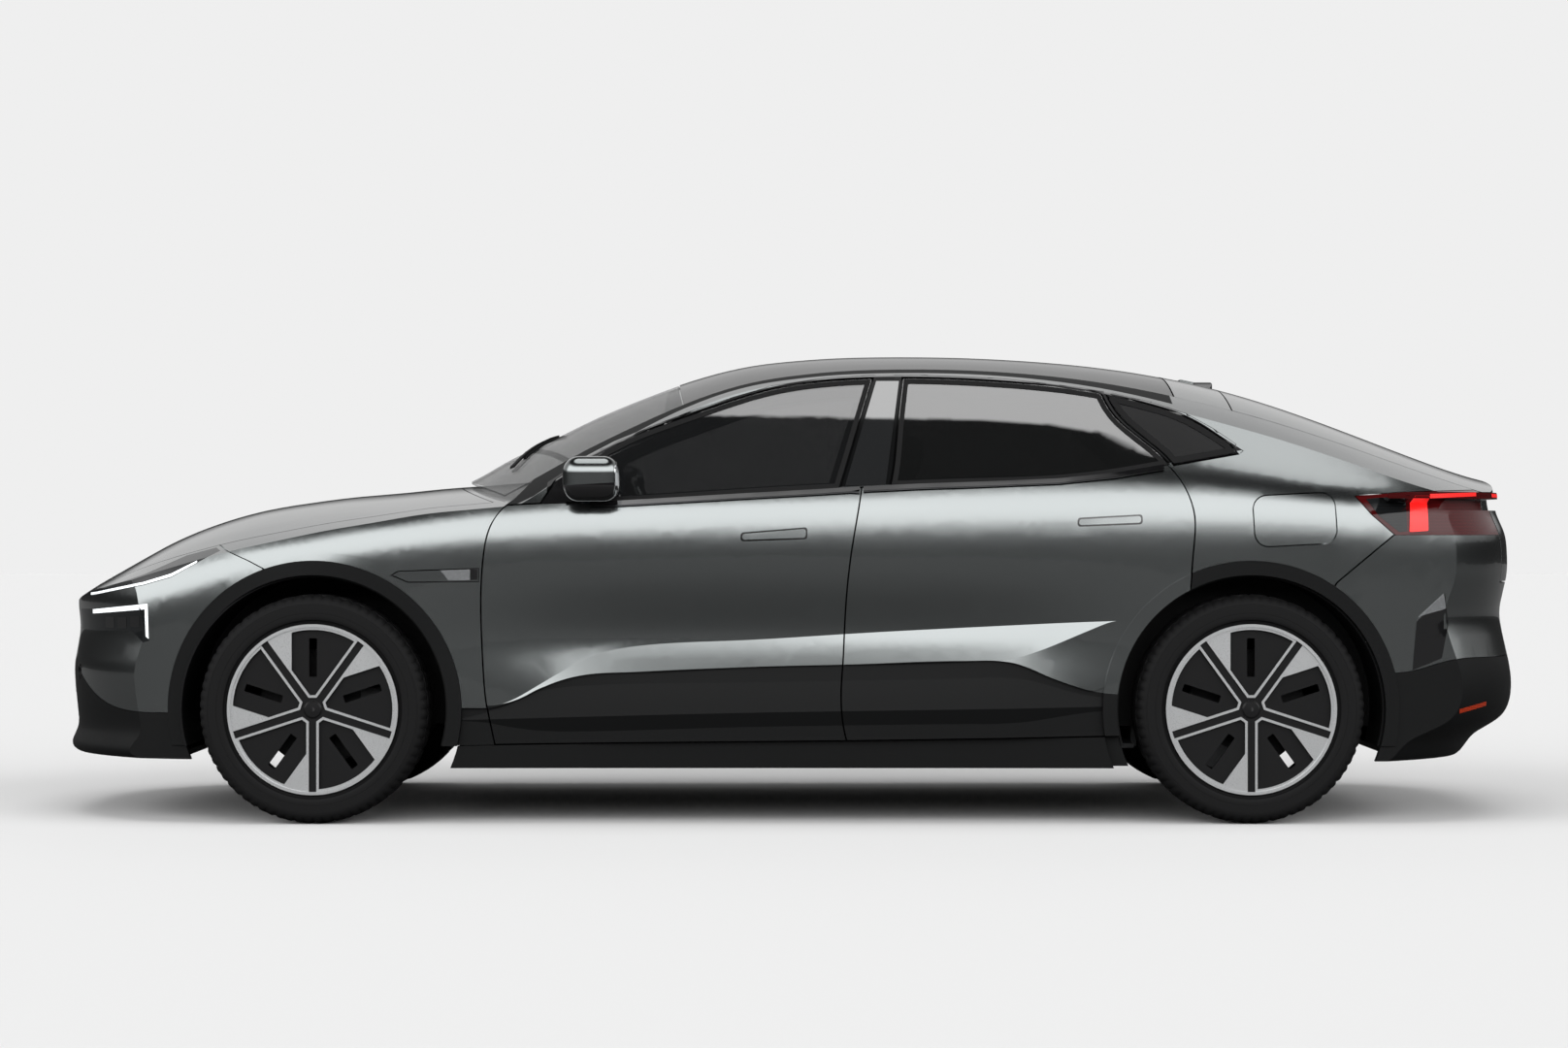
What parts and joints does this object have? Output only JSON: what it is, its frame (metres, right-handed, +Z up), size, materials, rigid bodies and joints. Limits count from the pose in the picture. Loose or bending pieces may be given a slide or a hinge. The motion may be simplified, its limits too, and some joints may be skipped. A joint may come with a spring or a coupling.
{
  "type": "coupe sport utility vehicle",
  "caption": "Four-door coupe sport utility vehicle with a sloping tailgate, opening doors, bonnet and charge flap, steered front wheels and a hollow cabin.",
  "frame": {"origin": "on the ground at mid-length on the car's centreline", "axes": "+X from nose to tail, +Y to the car's right, +Z up"},
  "size_m": [4.8497, 2.138, 1.533],
  "materials": {
    "paint": "grey-green metallic clearcoat",
    "structure": "satin body primer",
    "cladding": "moulded satin plastic",
    "tinted_glass": "tinted",
    "front_lamp": "clear lens",
    "rear_lamp": "red lens",
    "chassis": "cast and painted",
    "battery_case": "folded sheet",
    "alloy": "machined and painted alloy",
    "tyre": "tread rubber",
    "trim_plastic": "grained",
    "seat_cloth": "woven"
  },
  "bodies": {
    "body_shell": {"side_frame_left": "paint", "side_frame_right": "paint", "front_wing_left": "paint", "front_wing_right": "paint", "front_bumper": "paint", "front_bumper_lower": "cladding", "rear_bumper": "paint", "rear_bumper_lower": "cladding", "windscreen": "tinted_glass", "roof_glass": "tinted_glass", "roof_frame": "paint", "quarter_glass": "tinted_glass", "headlamps": "front_lamp", "tail_lamps": "rear_lamp", "floor_pan": "structure", "battery_pack": "battery_case", "wheel_arch_liners": "cladding", "body_cladding": "cladding", "front_subframe": "chassis", "rear_axle": "chassis", "dashboard": "trim_plastic", "centre_console": "trim_plastic", "front_seats": "seat_cloth", "rear_seat": "seat_cloth"},
    "bonnet": {"bonnet": "paint"},
    "tailgate": {"tailgate": "paint", "tailgate_light_bar": "rear_lamp"},
    "charge_flap": {"charge_flap": "paint"},
    "front_door_left": {"front_door_left": "paint", "front_door_glass_left": "tinted_glass", "door_mirror_left": "paint"},
    "rear_door_left": {"rear_door_left": "paint", "rear_door_glass_left": "tinted_glass"},
    "front_knuckle_left": {"front_knuckle_left": "chassis"},
    "front_wheel_left": {"front_wheel_left": "alloy", "front_tyre_left": "tyre"},
    "rear_wheel_left": {"rear_wheel_left": "alloy", "rear_tyre_left": "tyre"},
    "front_door_right": {"front_door_right": "paint", "front_door_glass_right": "tinted_glass", "door_mirror_right": "paint"},
    "rear_door_right": {"rear_door_right": "paint", "rear_door_glass_right": "tinted_glass"},
    "front_knuckle_right": {"front_knuckle_right": "chassis"},
    "front_wheel_right": {"front_wheel_right": "alloy", "front_tyre_right": "tyre"},
    "rear_wheel_right": {"rear_wheel_right": "alloy", "rear_tyre_right": "tyre"},
    "steering_wheel": {"steering_wheel": "trim_plastic"}
  },
  "joints": [
    {"name": "front_door_left_hinge", "type": "hinge", "parent": "body_shell", "child": "front_door_left", "pos_m": [-0.986, -0.986, 0.7], "axis": [0, 0, -1], "range_deg": [0, 65]},
    {"name": "rear_door_left_hinge", "type": "hinge", "parent": "body_shell", "child": "rear_door_left", "pos_m": [0.1705, -0.999, 0.7], "axis": [0, 0, -1], "range_deg": [0, 65]},
    {"name": "front_knuckle_left_steer", "type": "hinge", "parent": "body_shell", "child": "front_knuckle_left", "pos_m": [-1.524, -0.82, 0.367], "axis": [0, 0, 1], "range_deg": [-32, 32]},
    {"name": "front_wheel_left_spin", "type": "hinge", "parent": "front_knuckle_left", "child": "front_wheel_left", "pos_m": [-1.524, -0.86, 0.367], "axis": [0, 1, 0], "continuous": true},
    {"name": "rear_wheel_left_spin", "type": "hinge", "parent": "body_shell", "child": "rear_wheel_left", "pos_m": [1.475, -0.86, 0.367], "axis": [0, 1, 0], "continuous": true},
    {"name": "front_door_right_hinge", "type": "hinge", "parent": "body_shell", "child": "front_door_right", "pos_m": [-0.986, 0.986, 0.7], "axis": [0, 0, 1], "range_deg": [0, 65]},
    {"name": "rear_door_right_hinge", "type": "hinge", "parent": "body_shell", "child": "rear_door_right", "pos_m": [0.1705, 0.999, 0.7], "axis": [0, 0, 1], "range_deg": [0, 65]},
    {"name": "front_knuckle_right_steer", "type": "hinge", "parent": "body_shell", "child": "front_knuckle_right", "pos_m": [-1.524, 0.82, 0.367], "axis": [0, 0, 1], "range_deg": [-32, 32]},
    {"name": "front_wheel_right_spin", "type": "hinge", "parent": "front_knuckle_right", "child": "front_wheel_right", "pos_m": [-1.524, 0.86, 0.367], "axis": [0, 1, 0], "continuous": true},
    {"name": "rear_wheel_right_spin", "type": "hinge", "parent": "body_shell", "child": "rear_wheel_right", "pos_m": [1.475, 0.86, 0.367], "axis": [0, 1, 0], "continuous": true},
    {"name": "bonnet_hinge", "type": "hinge", "parent": "body_shell", "child": "bonnet", "pos_m": [-0.955, 0, 1.106], "axis": [0, 1, 0], "range_deg": [0, 50]},
    {"name": "tailgate_hinge", "type": "hinge", "parent": "body_shell", "child": "tailgate", "pos_m": [1.4575, 0, 1.424], "axis": [0, -1, 0], "range_deg": [0, 75]},
    {"name": "charge_flap_hinge", "type": "hinge", "parent": "body_shell", "child": "charge_flap", "pos_m": [1.484, -0.994, 0.97], "axis": [0, 0, -1], "range_deg": [0, 80]},
    {"name": "steering_wheel_turn", "type": "hinge", "parent": "body_shell", "child": "steering_wheel", "pos_m": [-0.44, -0.4, 0.94], "axis": [0.9063, 0, 0.4226], "range_deg": [-450, 450]}
  ],
  "couplings": [
    {"joint": "front_knuckle_right_steer", "follows": "front_knuckle_left_steer", "ratio": 1},
    {"joint": "steering_wheel_turn", "follows": "front_knuckle_left_steer", "ratio": 14}
  ]
}
